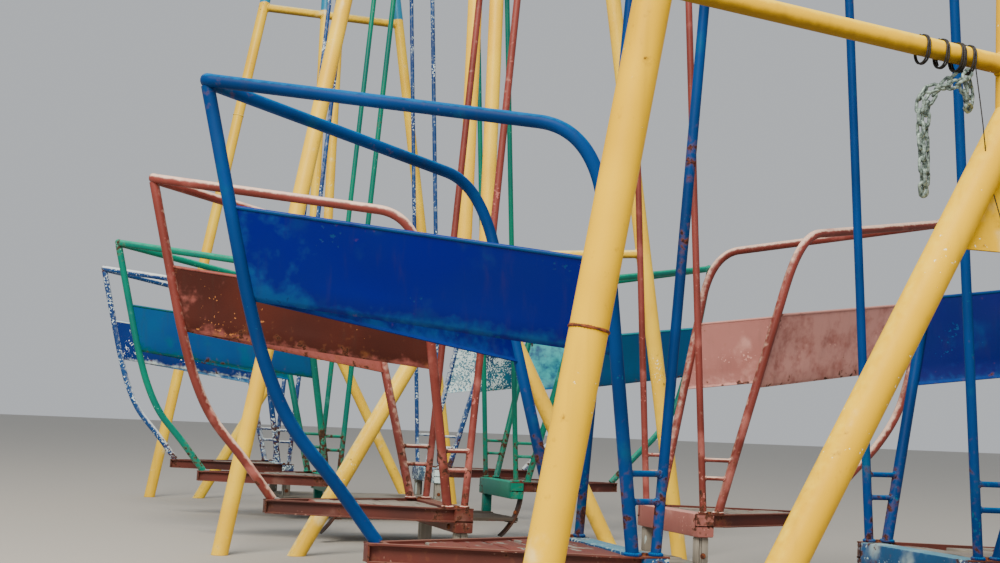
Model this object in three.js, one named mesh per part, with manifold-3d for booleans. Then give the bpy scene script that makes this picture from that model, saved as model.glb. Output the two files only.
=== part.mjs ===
// Row of four playground swing boats hung side by side from three pipe frames.
// Millimetres, +Z up. X runs along each boat, Y along the row, the ground is Z = 0,
// and the origin lies on the ground under the middle of the row.
import * as THREE from 'three';
import { mergeVertices } from 'three/addons/utils/BufferGeometryUtils.js';
import Module from 'manifold-3d';

const wasm = await Module();
wasm.setup();

// Pipes, by outside radius
const pipeR = 38;
const mastR = 35;
const tieR = 30;
const headR = 35;
const barR = 21;
const beamR = 57;
const railR = 17;
const rodR = 13.5;
const rungR = 8;

// Frames, in the plane Y = 0 of each one
const bay = 4098;
const pivotZ = 4060;
const legFootX = 1139;
const legLean = 0.165;
const tieZ = 3703;
const headZ = pivotZ - beamR - headR;
const saddleHalf = 45;
const apexZ = 1447;
const diagonalFootX = 790;
const mastX = 55;
const mastSeat = 95;
const barLegZ = 1522;
const gussetBottomZ = 1052;
const gussetTopHalf = 5;
const gussetThick = 8;

// Boats along the row, then each boat's sizes from the pivot line and the deck's top face
const boatPlaces = [-3010, -1329, 909, 2424];
const deckZ = 335;
const halfWidth = 267;
const rodFootX = 477;
const spreaderX = 242;
const sleeveR = 74;
const sleeveGap = 0.3;
const sleeveLong = 90;
const downLegFootX = 540;
const panelThick = 5;
const deckThick = 55;
const deckTipX = 1160;
const deckTipHalf = 26;
const deckShoulderX = 570;
const deckHalf = 286;
const crossBeamX = [446, 516];
const crossBeamDeep = 90;
const wellPost = 46;
const wellPostX = 481;
const wellPostY = 244;
const wellDepth = 190;
const wellFloorThick = 25;
const rungZ = [135, 205];

// Rails, stem and side sheets of the two ends. The stern is longer, narrower and higher.
const bow = {
  kneeX: 713,
  kneeHalf: 433,
  kneeZ: 825,
  corner: [755, 471, 1024],
  bend: [881, 403, 1041],
  prowX: 1633,
  prowZ: 1144,
  stemCurve: [[1131, 0], [1247, 146], [1364, 285], [1436, 425], [1492, 595], [1552, 828]],
  panelInnerZ: [490, 715],
  panelStemZ: [595, 828],
};
const stern = {
  kneeX: 754,
  kneeHalf: 362,
  kneeZ: 880,
  corner: [805, 384, 1088],
  bend: [914, 338, 1108],
  prowX: 1713,
  prowZ: 1256,
  stemCurve: [[1131, 0], [1270, 146], [1408, 285], [1504, 425], [1562, 595], [1628, 828]],
  panelInnerZ: [486, 772],
  panelStemZ: [614, 902],
};

// The frames stand this far along X, so that the row's box has its middle on the origin.
const rowX = (bow.prowX - stern.prowX) / 2;

// Running gap between pieces, and the flats and steps that stand for a round
const gap = 0.3;
const pipeSides = 16;
const beamSides = 24;
const barSides = 14;
const smallSides = 10;
const rungSides = 8;
const bendSteps = 5;
const stemSteps = 12;
const panelSteps = 6;

// Lengths by which a shape overshoots before it is cut back
const overshoot = 100;
const farAway = 9000;

const paint = (color, roughness) => new THREE.MeshStandardMaterial({ color, roughness, metalness: 0.1 });
const yellowPaint = paint('#e0bd58', 0.5);
const beamPaint = paint('#1f6f9a', 0.5);
const boatPaints = [
  { tube: paint('#0b55a6', 0.45), panel: paint('#082a84', 0.45) },
  { tube: paint('#b4524a', 0.55), panel: paint('#8a4640', 0.55) },
  { tube: paint('#1f9c82', 0.5), panel: paint('#0f639b', 0.5) },
  { tube: paint('#1b4a9c', 0.5), panel: paint('#123c8e', 0.5) },
];
const deckPaint = paint('#6f3a30', 0.75);
const wellPaint = paint('#6e685c', 0.85);

const v = (x, y, z) => new THREE.Vector3(x, y, z);

// A closed geometry becomes a solid once its doubled vertices are merged.
function solid(geometry) {
  const bare = new THREE.BufferGeometry();
  bare.setAttribute('position', geometry.getAttribute('position'));
  if (geometry.index) bare.setIndex(geometry.index);
  const merged = mergeVertices(bare, 1e-3);
  const mesh = new wasm.Mesh({
    numProp: 3,
    vertProperties: new Float32Array(merged.getAttribute('position').array),
    triVerts: new Uint32Array(merged.index.array),
  });
  return new wasm.Manifold(mesh);
}

const fuse = (solids) => solids.reduce((whole, piece) => whole.add(piece));
const cut = (whole, tools) => tools.reduce((rest, tool) => rest.subtract(tool), whole);

// A straight round bar between two points.
function bar(from, to, radius, sides) {
  const along = to.clone().sub(from);
  const geometry = new THREE.CylinderGeometry(radius, radius, along.length(), sides);
  const turn = new THREE.Quaternion().setFromUnitVectors(v(0, 1, 0), along.clone().normalize());
  geometry.applyQuaternion(turn);
  const middle = from.clone().add(to).multiplyScalar(0.5);
  geometry.translate(middle.x, middle.y, middle.z);
  return solid(geometry);
}

// A rectangular block between two corners.
function block(low, high) {
  const size = high.clone().sub(low);
  const geometry = new THREE.BoxGeometry(size.x, size.y, size.z);
  geometry.translate((low.x + high.x) / 2, (low.y + high.y) / 2, (low.z + high.z) / 2);
  return solid(geometry);
}

// A route steps through its own points, so straight stretches take one step.
class Route extends THREE.Curve {
  constructor(points) {
    super();
    this.points = points;
  }

  getPointAt(u) {
    return this.points[Math.round(u * (this.points.length - 1))].clone();
  }

  getSpacedPoints() {
    return this.points.map((point) => point.clone());
  }

  getTangentAt(u) {
    const last = this.points.length - 1;
    const at = Math.round(u * last);
    const back = this.points[Math.max(at - 1, 0)];
    const ahead = this.points[Math.min(at + 1, last)];
    const into = this.points[at].clone().sub(back).normalize();
    const outOf = ahead.clone().sub(this.points[at]).normalize();
    return into.add(outOf).normalize();
  }
}

// A round tube swept along a route.
function tube(points, radius, sides) {
  const section = new THREE.Shape();
  section.absarc(0, 0, radius, 0, 2 * Math.PI);
  const settings = { steps: points.length - 1, curveSegments: sides / 2, extrudePath: new Route(points) };
  return solid(new THREE.ExtrudeGeometry(section, settings));
}

// A smooth curve through a few points.
function smoothRoute(points, steps) {
  return new THREE.CatmullRomCurve3(points, false, 'centripetal').getPoints(steps);
}

// A thin sheet between a lower and an upper line of points. Both faces are cut into the same triangles.
function sheet(lower, upper, thick) {
  const last = lower.length - 1;
  const stations = lower.flatMap((low, i) => {
    const along = lower[Math.min(i + 1, last)].clone().sub(lower[Math.max(i - 1, 0)]);
    const normal = along.cross(upper[i].clone().sub(low)).setLength(thick / 2);
    const back = normal.clone().negate();
    const moved = (point, offset) => point.clone().add(offset);
    return [moved(low, normal), moved(upper[i], normal), moved(upper[i], back), moved(low, back)];
  });
  const index = [0, 1, 2, 0, 2, 3, ...[0, 2, 1, 0, 3, 2].map((corner) => 4 * last + corner)];
  for (let i = 0; i < last; i += 1) {
    const here = [0, 1, 2, 3].map((corner) => 4 * i + corner);
    const next = here.map((corner) => corner + 4);
    index.push(here[0], next[0], next[1], here[0], next[1], here[1]);
    index.push(here[3], next[2], next[3], here[3], here[2], next[2]);
    index.push(here[1], next[1], next[2], here[1], next[2], here[2]);
    index.push(here[3], next[3], next[0], here[3], next[0], here[0]);
  }
  const geometry = new THREE.BufferGeometry().setFromPoints(stations);
  geometry.setIndex(index);
  return solid(geometry);
}

// A prism of an outline in the XY plane, from one height to another.
function plank(outline, lowZ, highZ) {
  const shape = new THREE.Shape(outline.map(([x, y]) => new THREE.Vector2(x, y)));
  const geometry = new THREE.ExtrudeGeometry(shape, { depth: highZ - lowZ, bevelEnabled: false });
  geometry.translate(0, 0, lowZ);
  return solid(geometry);
}

function named(name, shape, material) {
  const cutMesh = shape.getMesh();
  const geometry = new THREE.BufferGeometry();
  geometry.setAttribute('position', new THREE.BufferAttribute(cutMesh.vertProperties, 3));
  geometry.setIndex(new THREE.BufferAttribute(cutMesh.triVerts, 1));
  geometry.computeVertexNormals();
  const mesh = new THREE.Mesh(geometry, material);
  mesh.name = name;
  return mesh;
}

const underGround = block(v(-farAway, -farAway, -farAway), v(farAway, farAway, 0));
const framePlaces = [-bay, 0, bay];
const legX = (z) => legFootX - legLean * z;

function outerLeg(side, radius) {
  const bottom = -overshoot;
  const top = headZ + headR;
  const tip = top + overshoot;
  const full = bar(v(side * legX(bottom), 0, bottom), v(side * legX(tip), 0, tip), radius, pipeSides);
  const above = block(v(-farAway, -farAway, top), v(farAway, farAway, farAway));
  return cut(full, [underGround, above]);
}

function crossHead() {
  const reach = legX(headZ);
  const pipe = bar(v(-reach, 0, headZ), v(reach, 0, headZ), headR, pipeSides);
  const saddle = block(v(-saddleHalf, -saddleHalf, headZ), v(saddleHalf, saddleHalf, pivotZ));
  return fuse([pipe, saddle]);
}

// The row's beam with a cross-head over each frame, all one welding.
function topBeam() {
  const end = bay + pipeR;
  const heads = framePlaces.map((y) => crossHead().translate([0, y, 0]));
  const beam = bar(v(0, -end, pivotZ), v(0, end, pivotZ), beamR, beamSides);
  const legs = framePlaces.flatMap((y) => (
    [-1, 1].map((side) => outerLeg(side, pipeR + gap).translate([0, y, 0]))
  ));
  return cut(fuse([beam, ...heads]), legs);
}

// Two masts side by side and the tie that crosses them near the top.
function masts() {
  const rise = (x) => bar(v(x, 0, apexZ - mastSeat), v(x, 0, headZ), mastR, pipeSides);
  const reach = legX(tieZ);
  const tie = bar(v(-reach, 0, tieZ), v(reach, 0, tieZ), tieR, pipeSides);
  return fuse([rise(-mastX), rise(mastX), tie]);
}

// Diagonals up to the apex, the gusset plate in their angle, and a sloping bar to each leg.
function braces(grow) {
  const halves = [-1, 1].flatMap((side) => {
    const run = diagonalFootX / apexZ;
    const diagonal = bar(
      v(side * (diagonalFootX + run * overshoot), 0, -overshoot),
      v(0, 0, apexZ),
      pipeR + grow,
      pipeSides,
    );
    const slope = bar(v(side * legX(barLegZ), 0, barLegZ), v(0, 0, apexZ), barR + grow, barSides);
    return [diagonal, slope];
  });
  const gussetHalf = diagonalFootX * (1 - gussetBottomZ / apexZ);
  const [lower, upper] = [[gussetHalf, gussetBottomZ], [gussetTopHalf, apexZ]].map(([x, z]) => (
    [v(-x, 0, z), v(x, 0, z)]
  ));
  return cut(fuse([...halves, sheet(lower, upper, gussetThick + 2 * grow)]), [underGround]);
}

function frame(number, y) {
  const group = new THREE.Group();
  group.position.y = y;
  const legTools = [-1, 1].map((side) => outerLeg(side, pipeR + gap));
  const beamTool = bar(v(-farAway, 0, headZ), v(farAway, 0, headZ), headR + gap, pipeSides);
  const mastCut = cut(masts(), [...legTools, braces(gap), beamTool]);
  group.add(
    named(`frame_${number}_left_leg`, outerLeg(-1, pipeR), yellowPaint),
    named(`frame_${number}_right_leg`, outerLeg(1, pipeR), yellowPaint),
    named(`frame_${number}_masts`, mastCut, yellowPaint),
    named(`frame_${number}_braces`, cut(braces(0), legTools), yellowPaint),
  );
  return group;
}

// Boat pieces are made around the deck's middle, with Z = 0 on the deck's top face.
const pivotUp = pivotZ - deckZ;
const mirrorX = (shape, side) => (side > 0 ? shape : shape.mirror([1, 0, 0]));
const underDeckTop = block(v(-farAway, -farAway, -farAway), v(farAway, farAway, gap));

// One side's hanger: a sleeve on the beam, a spreader through it, and two rods.
function hanger(side) {
  const y = side * halfWidth;
  const half = sleeveLong / 2;
  const boreR = (beamR + sleeveGap) / Math.cos(Math.PI / beamSides);
  const sleeve = bar(v(0, y - half, pivotUp), v(0, y + half, pivotUp), sleeveR, beamSides);
  const reach = spreaderX + rodR;
  const spreader = bar(v(-reach, y, pivotUp), v(reach, y, pivotUp), railR, smallSides);
  const rods = [-1, 1].map((end) => bar(
    v(end * rodFootX, y, gap),
    v(end * spreaderX, y, pivotUp),
    rodR,
    smallSides,
  ));
  const bore = bar(v(0, y - sleeveLong, pivotUp), v(0, y + sleeveLong, pivotUp), boreR, beamSides);
  return cut(fuse([sleeve, spreader, ...rods]), [bore, underDeckTop]);
}

// The down-leg of a rail leans outwards as it rises from the deck to the knee.
const rodX = (z) => rodFootX - ((rodFootX - spreaderX) * z) / pivotUp;
const downLegX = (form, z) => downLegFootX + ((form.kneeX - downLegFootX) * z) / form.kneeZ;
const downLegHalf = (form, z) => halfWidth + ((form.kneeHalf - halfWidth) * z) / form.kneeZ;
const downLegPoint = (form, side, z) => v(downLegX(form, z), side * downLegHalf(form, z), z);

// Hand rail from the prow back to its knee and down to the deck, on one side.
function railPoints(form, side, grow) {
  const [bend, corner] = [form.bend, form.corner].map(([x, y, z]) => v(x, side * y, z));
  const knee = downLegPoint(form, side, form.kneeZ);
  const turn = new THREE.QuadraticBezierCurve3(bend, corner, knee).getPoints(bendSteps);
  return [v(form.prowX + grow, 0, form.prowZ), ...turn, downLegPoint(form, side, -deckThick)];
}

function rails(form, grow) {
  return fuse([-1, 1].map((side) => tube(railPoints(form, side, grow), railR + grow, smallSides)));
}

function rungs(form) {
  return [-1, 1].flatMap((side) => rungZ.map((z) => bar(
    v(rodX(z), side * halfWidth, z),
    downLegPoint(form, side, z),
    rungR,
    rungSides,
  )));
}

function railsNode(end, form) {
  const rodTools = [-1, 1].map((side) => bar(
    v(rodFootX, side * halfWidth, 0),
    v(spreaderX, side * halfWidth, pivotUp),
    rodR + gap,
    smallSides,
  ));
  const whole = cut(fuse([rails(form, 0), ...rungs(form)]), [underDeckTop, ...rodTools]);
  return mirrorX(whole, end);
}

// Stem tube with a side sheet welded to it on each side.
function shellNode(end, form) {
  const route = [...form.stemCurve, [form.prowX, form.prowZ]].map(([x, z]) => v(x, 0, z));
  const stem = tube(smoothRoute(route, stemSteps), railR, smallSides);
  const [[lowX, lowZ], [highX, highZ]] = form.stemCurve.slice(4, 6);
  const stemX = (z) => lowX + ((z - lowZ) * (highX - lowX)) / (highZ - lowZ);
  const panels = [-1, 1].map((side) => {
    const [lower, upper] = form.panelStemZ.map((z, i) => {
      const inner = downLegPoint(form, side, form.panelInnerZ[i]);
      return new THREE.LineCurve3(inner, v(stemX(z), 0, z)).getPoints(panelSteps);
    });
    return sheet(lower, upper, panelThick);
  });
  return mirrorX(cut(fuse([stem, ...panels]), [underDeckTop, rails(form, gap)]), end);
}

function deckNode(end) {
  const outline = [
    [deckTipX, -deckTipHalf], [deckTipX, deckTipHalf], [deckShoulderX, deckHalf],
    [crossBeamX[0], deckHalf], [crossBeamX[0], -deckHalf], [deckShoulderX, -deckHalf],
  ];
  const crossBeam = block(v(crossBeamX[0], -deckHalf, -crossBeamDeep), v(crossBeamX[1], deckHalf, 0));
  return mirrorX(fuse([plank(outline, -deckThick, 0), crossBeam]), end);
}

// Lower footboard between the decks, hung on four posts.
function footWell() {
  const reach = wellPostX + wellPost / 2;
  const half = wellPostY + wellPost / 2;
  const floor = block(v(-reach, -half, -wellDepth - wellFloorThick), v(reach, half, -wellDepth));
  const posts = [-1, 1].flatMap((end) => [-1, 1].map((side) => {
    const x = end * wellPostX;
    const y = side * wellPostY;
    const edge = wellPost / 2;
    return block(v(x - edge, y - edge, -wellDepth - 1), v(x + edge, y + edge, -crossBeamDeep - gap));
  }));
  return fuse([floor, ...posts]);
}

function boat(number, y) {
  const group = new THREE.Group();
  group.position.set(0, y, deckZ);
  const { tube: tubePaint, panel: panelPaint } = boatPaints[number - 1];
  group.add(
    named(`boat_${number}_near_hanger`, hanger(-1), tubePaint),
    named(`boat_${number}_far_hanger`, hanger(1), tubePaint),
    named(`boat_${number}_bow_rails`, railsNode(-1, bow), tubePaint),
    named(`boat_${number}_stern_rails`, railsNode(1, stern), tubePaint),
    named(`boat_${number}_bow_shell`, shellNode(-1, bow), panelPaint),
    named(`boat_${number}_stern_shell`, shellNode(1, stern), panelPaint),
    named(`boat_${number}_bow_deck`, deckNode(-1), deckPaint),
    named(`boat_${number}_stern_deck`, deckNode(1), deckPaint),
    named(`boat_${number}_foot_well`, footWell(), wellPaint),
  );
  return group;
}

const row = new THREE.Group();
row.position.x = rowX;
framePlaces.forEach((y, i) => row.add(frame(i + 1, y)));
row.add(named('top_beam', topBeam(), beamPaint));
boatPlaces.forEach((y, i) => row.add(boat(i + 1, y)));

export default row;
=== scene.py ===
import math

import bpy
import numpy as np
from mathutils import Matrix


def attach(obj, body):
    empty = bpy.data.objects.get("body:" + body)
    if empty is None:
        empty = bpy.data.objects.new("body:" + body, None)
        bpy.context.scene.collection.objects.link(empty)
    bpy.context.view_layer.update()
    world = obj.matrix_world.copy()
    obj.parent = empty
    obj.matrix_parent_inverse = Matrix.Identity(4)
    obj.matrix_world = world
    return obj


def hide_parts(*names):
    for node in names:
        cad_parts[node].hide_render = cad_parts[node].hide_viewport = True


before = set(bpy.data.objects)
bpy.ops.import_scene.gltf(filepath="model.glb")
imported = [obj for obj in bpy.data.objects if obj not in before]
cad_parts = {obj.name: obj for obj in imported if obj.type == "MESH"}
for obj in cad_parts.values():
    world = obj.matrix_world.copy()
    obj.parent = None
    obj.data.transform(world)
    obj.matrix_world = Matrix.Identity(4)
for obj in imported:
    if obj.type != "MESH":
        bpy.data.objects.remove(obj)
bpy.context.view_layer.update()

# The camera stands low beside the near end of the row and looks along it, a little upwards and with its head
# leaning over. Its focal length is in pixels of a picture 1000 wide, and the angles are in radians.
picture_width = 1000
focal_length_px = 1432.5
camera_place = np.array([-2.030, -6.617, 0.658])
camera_yaw, camera_pitch, camera_roll = 0.3107, 0.0964, 0.0426


def stand(name, data, axes=(), place=()):
    """A new object in the scene, with its axes and its origin where they are given."""
    thing = bpy.data.objects.new(name, data)
    bpy.context.scene.collection.objects.link(thing)
    if axes:
        thing.matrix_world = Matrix([*np.column_stack([*axes, place]).tolist(), [0, 0, 0, 1]])
    return thing


camera_ahead = np.array([
    math.sin(camera_yaw) * math.cos(camera_pitch),
    math.cos(camera_yaw) * math.cos(camera_pitch),
    math.sin(camera_pitch),
])
level_right = np.array([math.cos(camera_yaw), -math.sin(camera_yaw), 0.0])
level_up = np.cross(level_right, camera_ahead)
camera_right = math.cos(camera_roll) * level_right + math.sin(camera_roll) * level_up
camera_up = math.cos(camera_roll) * level_up - math.sin(camera_roll) * level_right
camera_data = bpy.data.cameras.new("camera")
camera_data.sensor_width = 36
camera_data.lens = camera_data.sensor_width * focal_length_px / picture_width
camera_axes = (camera_right, camera_up, -camera_ahead)
bpy.context.scene.camera = stand("camera", camera_data, camera_axes, camera_place)


# Studio: a pale floor that runs out to the horizon, and a soft overcast light with one broad, slightly warm
# light from high on the left.


def linear(colour):
    """An sRGB colour written in hex, as a linear colour with full alpha."""
    levels = np.array([int(colour[i:i + 2], 16) for i in (0, 2, 4)]) / 255
    bent = np.where(levels <= 0.04045, levels / 12.92, ((levels + 0.055) / 1.055) ** 2.4)
    return (*bent.tolist(), 1.0)


floor_half = 60.0
floor_mesh = bpy.data.meshes.new("floor")
floor_corners = [(sx * floor_half, sy * floor_half, -0.001) for sx, sy in ((-1, -1), (1, -1), (1, 1), (-1, 1))]
floor_mesh.from_pydata(floor_corners, [], [(0, 1, 2, 3)])
floor_paint = bpy.data.materials.new("floor_paint")
floor_paint.use_nodes = True
floor_shader = floor_paint.node_tree.nodes["Principled BSDF"]
floor_shader.inputs["Base Color"].default_value = linear("B4B0A8")
floor_shader.inputs["Roughness"].default_value = 0.9
floor_mesh.materials.append(floor_paint)
floor = stand("floor", floor_mesh)

sky = bpy.data.worlds.new("sky")
sky.use_nodes = True
sky.node_tree.nodes["Background"].inputs["Color"].default_value = linear("E9EDF2")
sky.node_tree.nodes["Background"].inputs["Strength"].default_value = 0.64
bpy.context.scene.world = sky

lamp_data = bpy.data.lights.new("high_light", "AREA")
lamp_data.shape = "RECTANGLE"
lamp_data.size, lamp_data.size_y = 7.0, 7.0
lamp_data.energy = 3300
lamp_data.color = linear("FFF6E8")[:3]
lamp_place = np.array([-5.7, -9.6, 9.5])
lamp_aim = np.array([0.2, -1.0, 1.0]) - lamp_place
lamp_back = -lamp_aim / np.linalg.norm(lamp_aim)
lamp_side = np.cross([0.0, 0.0, 1.0], lamp_back)
lamp_side /= np.linalg.norm(lamp_side)
stand("high_light", lamp_data, (lamp_side, np.cross(lamp_back, lamp_side), lamp_back), lamp_place)


# Enamel: brushed-on alkyd paint over an older coat on steel. Its upward faces go over to a lighter top colour,
# partly sun fade and partly a painted highlight, and its undersides to a dark brown, painted shade with some dirt.
# It streaks downwards, chips to the older coat, and rusts where the stain attribute is high, round welds and feet.
# Object coordinates are metres.
# The underside colour is painted shade with some dirt in it; the streak colour is dirt.
underside_shade_and_dirt, streak_dirt = "4A3A22", "33302A"
rust_bleed, rust_dark, rust_light, rust_film = "7A4A2C", "2A1812", "5E3220", "5E3119"


class Spread:
    """A value or colour that differs from place to place on a surface. Arithmetic with it adds Math nodes."""

    def __init__(self, look, socket):
        self.look, self.socket = look, socket

    def calc(self, operation, first, second):
        return self.look.node("Math", {0: first, 1: second}, operation=operation)

    def __add__(self, other):
        return self.calc("ADD", self, other)

    def __sub__(self, other):
        return self.calc("SUBTRACT", self, other)

    def __mul__(self, other):
        return self.calc("MULTIPLY", self, other)

    def or_more(self, other):
        return self.calc("MAXIMUM", self, other)


class Look:
    """A node material in the making, with its place in metres and its stain attribute."""

    def __init__(self, name):
        self.material = bpy.data.materials.new(name)
        self.material.use_nodes = True
        self.tree = self.material.node_tree
        self.shader = self.tree.nodes["Principled BSDF"]
        self.place = self.node("TexCoord", output="Object")
        self.stain = self.node("Attribute", output="Fac", attribute_name="stain")

    def node(self, kind, inputs=(), output=0, **settings):
        """Adds a node and gives one of its outputs. An input takes a plain value, a hex colour or a Spread."""
        node = self.tree.nodes.new(f"ShaderNode{kind}")
        for name, value in settings.items():
            setattr(node, name, value)
        for key, value in dict(inputs).items():
            if isinstance(value, Spread):
                self.tree.links.new(value.socket, node.inputs[key])
            else:
                node.inputs[key].default_value = linear(value) if isinstance(value, str) else value
        return Spread(self, node.outputs[output])

    def noise(self, scale, detail=4.0, stretch=(1.0, 1.0, 1.0)):
        """Noise of scale features a metre, drawn out along an axis where stretch is small."""
        drawn = self.node("Mapping", {"Vector": self.place, "Scale": [scale * part for part in stretch]})
        return self.node("TexNoise", {"Vector": drawn, "Scale": 1.0, "Detail": detail})

    def step(self, value, low, high):
        """0 up to low, 1 from high on, and a smooth rise between them."""
        inputs = {"Value": value, "From Min": low, "From Max": high}
        return self.node("MapRange", inputs, interpolation_type="SMOOTHSTEP")

    def mix(self, amount, first, second):
        """The first colour, going over to the second by amount."""
        return self.node("Mix", {0: amount, 6: first, 7: second}, 2, data_type="RGBA")

    def finish(self, colour, roughness, height):
        """The material, with its shader set from a colour, a roughness and a height in millimetres."""
        bump = self.node("Bump", {"Height": height, "Distance": 0.001, "Strength": 1.0})
        for name, value in (("Base Color", colour), ("Roughness", roughness), ("Normal", bump)):
            self.tree.links.new(value.socket, self.shader.inputs[name])
        return self.material


def enamel(name, coat, shade, top, under, chips, rust, scuff, gloss, fade_and_sheen=0.5, weld_rust=1.0, worn=None, upper=None,
           ior=1.4, shade_and_grime=0.0):
    """Coat and shade are the paint's two tones, top is the colour of its upward faces, partly sun fade and partly a
    painted highlight, under is the older coat, and worn its colour where the worn attribute is high. Chips, rust,
    scuff, weld_rust, and how much of the top colour (fade and painted highlight) and of the dark brown on
    undersides (painted shade with some dirt) shows, go from 0, none, to 1. Upper is the coat above a height,
    (colour, z)."""
    look = Look(name)
    noise, step, mix, stain = look.noise, look.step, look.mix, look.stain
    colour = mix(step(noise(3.2, 3.0), 0.34, 0.66), coat, shade)
    mottle = noise(44.0, 6.0)
    if worn:
        handled = look.node("Attribute", output="Fac", attribute_name="worn") + noise(13.0, 6.0) + mottle * 0.5
        colour = mix(step(handled, 1.05, 1.45), colour, worn)
    if upper:
        ragged = look.node("SeparateXYZ", {0: look.place}, 2) + noise(40.0) * 0.02
        colour = mix(step(ragged, upper[1], upper[1] + 0.003), colour, upper[0])
    rise = look.node("SeparateXYZ", {0: look.node("TexCoord", output="Normal")}, 2)
    # Upward faces go over to the top colour: partly sun fade, partly a painted highlight.
    fade_and_sheen_mask = step(step(rise, -0.15, 0.95) + mottle * 0.9, 1.05 - 0.6 * fade_and_sheen, 1.65 - 0.6 * fade_and_sheen) * 0.9
    colour = mix(fade_and_sheen_mask, colour, top)
    # Faces that look down go over to dark brown: painted shade, with some dirt.
    if shade_and_grime:
        colour = mix(step(mottle * 0.5 - rise, 0.35, 1.1) * shade_and_grime, colour, underside_shade_and_dirt)
    rubbed = step(noise(7.5, 5.0) + stain * 0.1, 0.68 - 0.2 * scuff, 0.86 - 0.2 * scuff) * 0.7
    colour = mix(rubbed, colour, under)
    streak = step(noise(30.0, 3.0, (1.0, 1.0, 0.06)), 0.52, 0.8)
    colour = mix(streak * 0.16, colour, streak_dirt)
    edge = 1.2 - 0.36 * chips
    chipped = step(noise(88.0, 7.0) + noise(6.0) * 0.8 + stain * 0.06, edge, edge + 0.02)
    colour = mix(chipped, colour, under)
    blister = noise(46.0, 7.0) + noise(5.5) * 0.7 + stain * (0.3 * weld_rust)
    edge = 1.18 - 0.32 * rust
    bleed = step(blister, edge - 0.12, edge + 0.03)
    colour = mix(bleed * 0.5, colour, mix(0.5, colour, rust_bleed))
    rusted = step(blister, edge, edge + 0.06)
    deep = mix(step(noise(170.0, 5.0), 0.38, 0.64), rust_dark, rust_light)
    colour = mix(rusted * 0.92, colour, deep)
    rough = (fade_and_sheen_mask * 0.25 + gloss).or_more(chipped * 0.66).or_more(rusted * 0.9)
    height = noise(160.0, 2.0) * 0.2 - chipped * 0.22 + noise(420.0, 3.0) * (rusted * 0.6)
    look.shader.inputs["IOR"].default_value = ior
    return look.finish(colour, rough, height)


def board_wood(name, bare, pale, dark, paint, covered, axis):
    """Weathered softwood with its grain along an axis (0 to 2), and what is left of a coat of paint."""
    look = Look(name)
    noise, step, mix = look.noise, look.step, look.mix
    grain = [1.0, 1.0, 1.0]
    grain[axis] = 0.05
    colour = mix(noise(95.0, 5.0, grain), bare, pale)
    colour = mix(step(noise(3.0), 0.4, 0.65), colour, bare)
    split = step(noise(60.0, 3.0, grain), 0.6, 0.67)
    colour = mix(split * 0.85, colour, dark)
    left = step(noise(34.0, 6.0, grain) + noise(14.0, 5.0), 1.32 - 0.6 * covered, 1.35 - 0.6 * covered)
    colour = mix(left, colour, paint)
    colour = mix(look.stain * 0.8, colour, dark)
    height = left * 0.25 - split * 1.4 + noise(240.0, 3.0, grain) * 0.5
    return look.finish(colour, left * -0.3 + 0.92, height)


def bare_steel(name, light, dark, roughness):
    """Steel without paint: rust, or the dull zinc of old chain and wire, in two tones."""
    look = Look(name)
    colour = look.mix(look.step(look.noise(130.0, 6.0), 0.35, 0.65), dark, light)
    colour = look.mix(look.stain * 0.6, colour, rust_film)
    look.shader.inputs["Metallic"].default_value = 0.35
    return look.finish(colour, look.noise(90.0) * 0.2 + roughness, look.noise(380.0, 4.0) * 0.5)


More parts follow.
